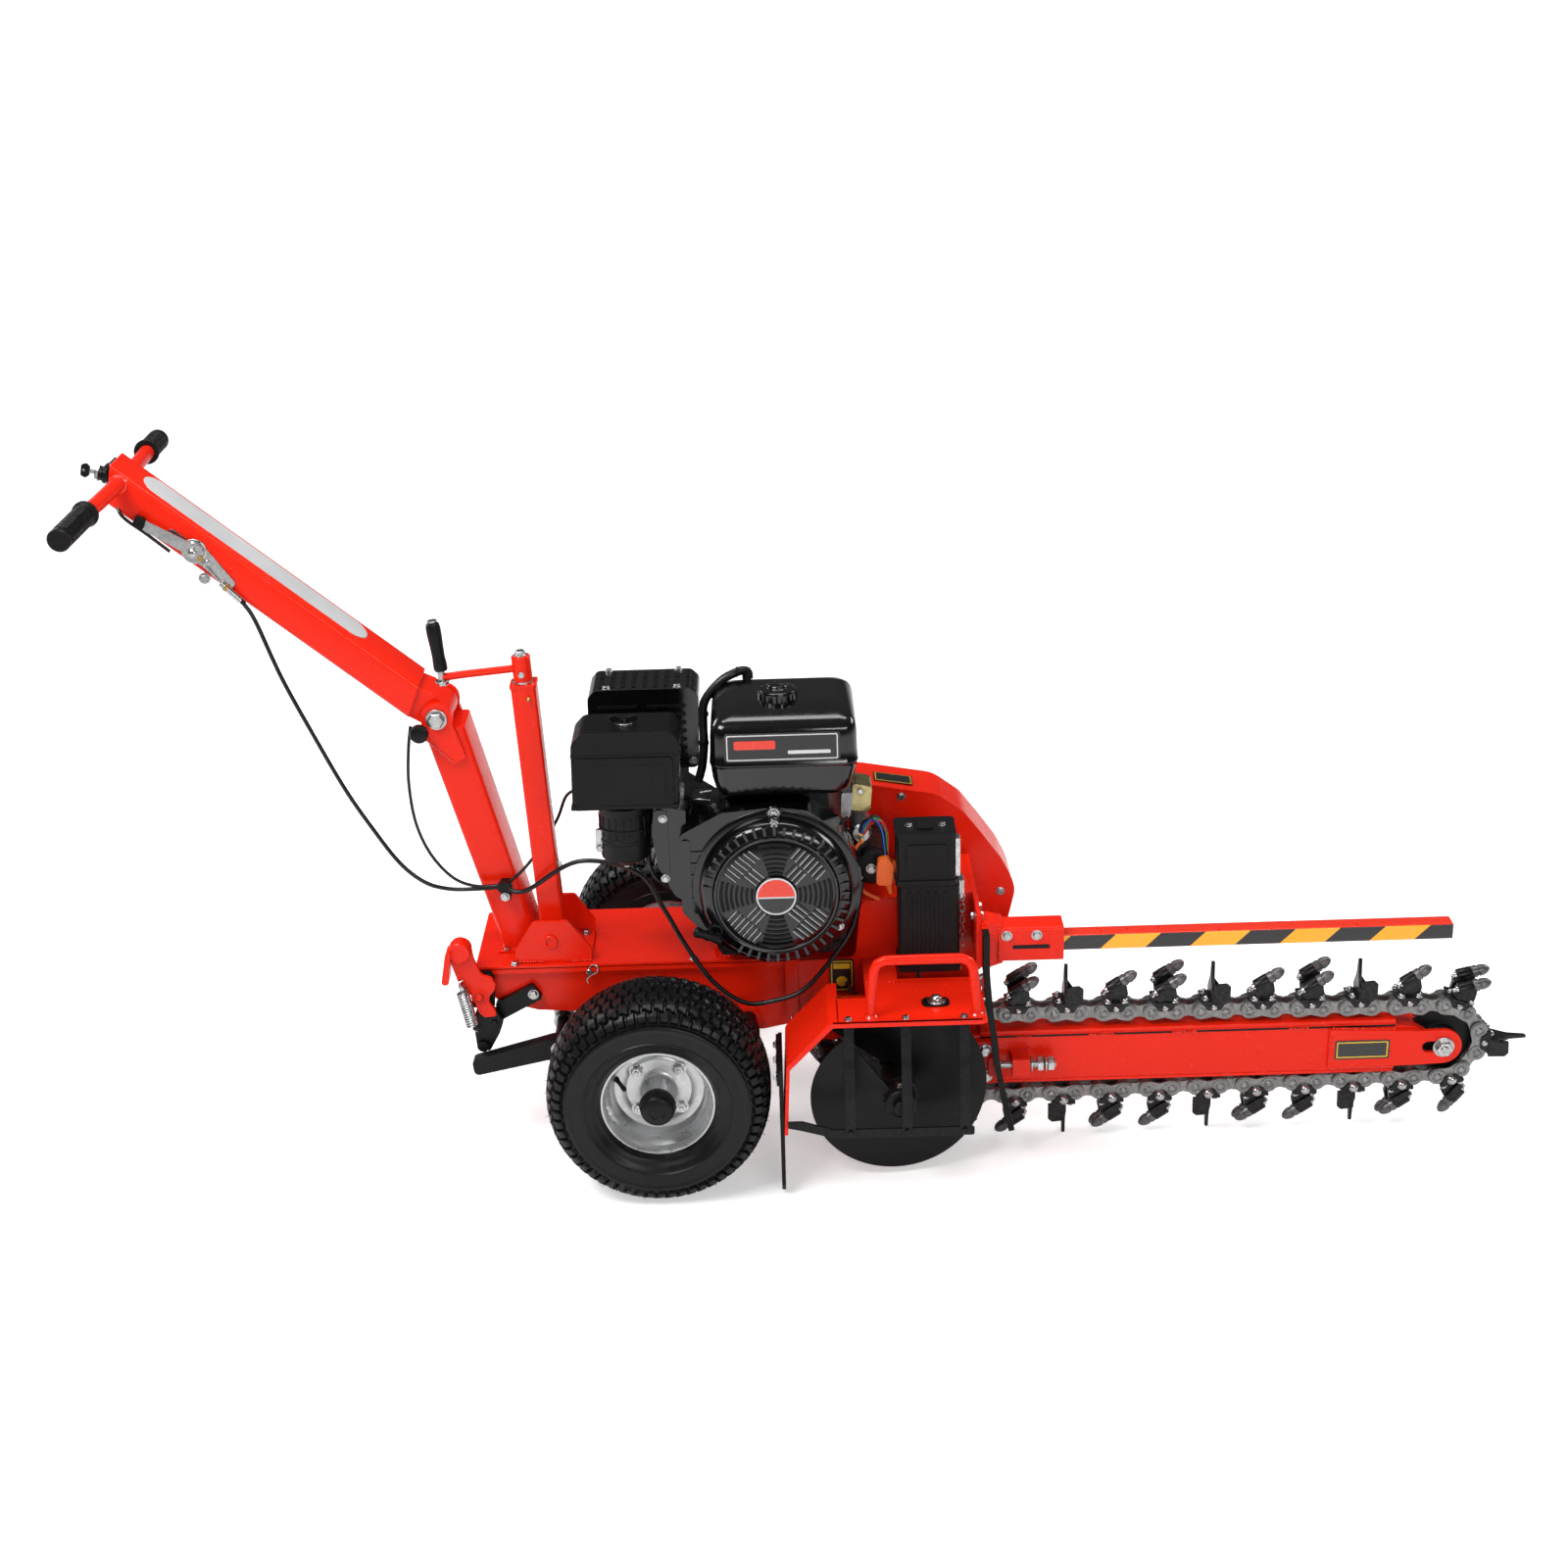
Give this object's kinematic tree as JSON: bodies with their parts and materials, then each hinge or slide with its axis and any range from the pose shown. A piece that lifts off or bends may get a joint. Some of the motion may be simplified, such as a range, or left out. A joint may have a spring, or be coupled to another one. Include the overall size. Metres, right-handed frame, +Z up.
{
  "type": "trencher",
  "caption": "Walk-behind chain trencher: petrol engine on a two-wheeled deck, hinged handle, crank jack, and a boom carrying a toothed digging chain beside an auger.",
  "frame": {"origin": "the middle of the base of the bounding box, on the ground; the wheel axle is 298.3 mm behind it, towards the handle", "axes": "+X along the boom, away from the handle; +Y to the belt-cover side; +Z up"},
  "size_m": [2.3926, 0.75, 1.216],
  "materials": {
    "red_paint": "glossy orange-red powder coat",
    "striped_paint": "glossy powder coat with slanted yellow and black stripes on the near face",
    "zinc": "zinc plated",
    "grip_rubber": "matt moulded rubber",
    "black_plastic": "fine-grained moulded plastic",
    "steel": "turned steel",
    "black_steel": "satin black paint",
    "tyre": "moulded turf tread",
    "silver_rim": "silver paint",
    "cast_engine": "sand-cast, satin",
    "cast_alloy": "sand-cast alloy, satin",
    "gloss_black": "gloss black enamel",
    "dark_steel": "oiled dark steel",
    "grey_plastic": "textured moulded plastic",
    "flap_rubber": "matt rubber"
  },
  "bodies": {
    "frame": {"deck_frame": "red_paint", "drive_housing": "red_paint", "rear_post": "red_paint", "fold_bolt": "zinc", "jack_column": "red_paint", "column_bracket": "red_paint", "latch_bracket": "red_paint", "latch_spring": "zinc", "engine_block": "cast_alloy", "fan_shroud": "gloss_black", "recoil_cover": "black_plastic", "fuel_tank": "gloss_black", "air_filter_cover": "black_plastic", "air_filter_base": "black_plastic", "muffler_cover": "gloss_black", "starter_motor": "cast_alloy", "battery_box": "grey_plastic", "battery": "black_plastic", "belt_cover": "red_paint", "drive_belt": "flap_rubber", "reduction_chain": "dark_steel", "digging_chain": "dark_steel", "auger_hood": "red_paint", "guard_bars": "black_steel", "left_flap": "flap_rubber", "right_strip": "flap_rubber", "bar_channel": "red_paint", "tension_bolt": "zinc", "throttle_cable": "flap_rubber"},
    "handle": {"handle_tube": "red_paint", "handlebar": "red_paint", "grip_near": "grip_rubber", "grip_far": "grip_rubber", "key_switch": "black_plastic", "throttle_body": "zinc"},
    "key": {"key": "zinc"},
    "throttle_lever": {"throttle_lever": "zinc"},
    "lock_knob": {"lock_knob": "black_plastic"},
    "crank": {"crank_arm": "red_paint"},
    "crank_grip": {"crank_grip": "grip_rubber"},
    "jack_tube": {"jack_inner_tube": "steel"},
    "axle_carrier": {"axle_carrier": "black_steel"},
    "wheel_near": {"tyre_near": "tyre", "rim_near": "silver_rim"},
    "wheel_far": {"tyre_far": "tyre", "rim_far": "silver_rim"},
    "foot_latch": {"foot_latch": "red_paint"},
    "starter_grip": {"starter_grip": "black_plastic"},
    "fuel_cap": {"fuel_cap": "black_plastic"},
    "engine_shaft": {"engine_pulley": "cast_engine"},
    "jackshaft": {"jackshaft": "steel", "driven_pulley": "cast_engine"},
    "head_shaft": {"head_shaft": "steel", "large_sprocket": "dark_steel", "drive_sprocket": "dark_steel", "auger": "black_steel"},
    "boom": {"boom": "red_paint", "nose_bolt": "zinc"},
    "nose_roller": {"nose_roller": "dark_steel"},
    "safety_bar": {"safety_bar": "striped_paint"}
  },
  "joints": [
    {"name": "handle_fold", "type": "hinge", "parent": "frame", "child": "handle", "pos_m": [-0.65434, 0, 0.768], "axis": [0, 1, 0], "range_deg": [-25, 0], "deforming": ["throttle_cable"]},
    {"name": "key_turn", "type": "hinge", "parent": "handle", "child": "key", "pos_m": [-1.17834, -0.02, 1.1998], "axis": [-0.9743, 0, 0.2252], "range_deg": [0, 80]},
    {"name": "throttle_turn", "type": "hinge", "parent": "handle", "child": "throttle_lever", "pos_m": [-1.02635, -0.058, 1.07], "axis": [0, 1, 0], "range_deg": [-55, 0]},
    {"name": "lock_knob_pull", "type": "slide", "parent": "frame", "child": "lock_knob", "axis": [0, -1, 0], "range_m": [0, 0.012]},
    {"name": "crank_turn", "type": "hinge", "parent": "frame", "child": "crank", "pos_m": [-0.48235, -0.04, 0.337], "axis": [-0.0475, 0, 0.9989], "range_deg": [-2400, 400]},
    {"name": "crank_grip_spin", "type": "hinge", "parent": "crank", "child": "crank_grip", "pos_m": [-0.63594, -0.078, 0.862], "axis": [-0.0972, 0, 0.9953], "continuous": true},
    {"name": "jack_slide", "type": "slide", "parent": "frame", "child": "jack_tube", "axis": [-0.0475, 0, 0.9989], "range_m": [-0.08, 0.013]},
    {"name": "carrier_swing", "type": "hinge", "parent": "frame", "child": "axle_carrier", "pos_m": [-0.14835, 0, 0.213], "axis": [0, 1, 0], "range_deg": [-13, 2]},
    {"name": "wheel_near_spin", "type": "hinge", "parent": "axle_carrier", "child": "wheel_near", "pos_m": [-0.29835, -0.2975, 0.188], "axis": [0, 1, 0], "continuous": true},
    {"name": "wheel_far_spin", "type": "hinge", "parent": "axle_carrier", "child": "wheel_far", "pos_m": [-0.29835, 0.2975, 0.188], "axis": [0, 1, 0], "continuous": true},
    {"name": "foot_latch_swing", "type": "hinge", "parent": "frame", "child": "foot_latch", "pos_m": [-0.60935, -0.136, 0.288], "axis": [0, 1, 0], "range_deg": [-22, 0], "deforming": ["latch_spring"]},
    {"name": "starter_pull", "type": "slide", "parent": "frame", "child": "starter_grip", "axis": [0, -1, 0], "range_m": [0, 0.6]},
    {"name": "fuel_cap_turn", "type": "hinge", "parent": "frame", "child": "fuel_cap", "pos_m": [-0.08034, -0.105, 0.813], "axis": [0, 0, 1], "range_deg": [0, 90]},
    {"name": "engine_shaft_spin", "type": "hinge", "parent": "frame", "child": "engine_shaft", "pos_m": [-0.09234, 0.11, 0.505], "axis": [0, 1, 0], "continuous": true},
    {"name": "jackshaft_spin", "type": "hinge", "parent": "frame", "child": "jackshaft", "pos_m": [0.19165, 0, 0.363], "axis": [0, 1, 0], "continuous": true},
    {"name": "head_shaft_spin", "type": "hinge", "parent": "frame", "child": "head_shaft", "pos_m": [0.10465, -0.16, 0.163], "axis": [0, 1, 0], "continuous": true},
    {"name": "boom_tension", "type": "slide", "parent": "frame", "child": "boom", "axis": [1, 0, 0], "range_m": [-0.012, 0]},
    {"name": "nose_roller_spin", "type": "hinge", "parent": "boom", "child": "nose_roller", "pos_m": [1.04635, -0.16, 0.165], "axis": [0, 1, 0], "continuous": true},
    {"name": "safety_bar_slide", "type": "slide", "parent": "frame", "child": "safety_bar", "axis": [1, 0, 0], "range_m": [0, 0.04]}
  ],
  "couplings": [
    {"joint": "jack_slide", "follows": "carrier_swing", "m_per_rad": 0.33},
    {"joint": "crank_turn", "follows": "carrier_swing", "ratio": 172.79},
    {"joint": "jackshaft_spin", "follows": "head_shaft_spin", "ratio": 3},
    {"joint": "engine_shaft_spin", "follows": "head_shaft_spin", "ratio": 6.5556},
    {"joint": "nose_roller_spin", "follows": "head_shaft_spin", "ratio": 1.2}
  ]
}
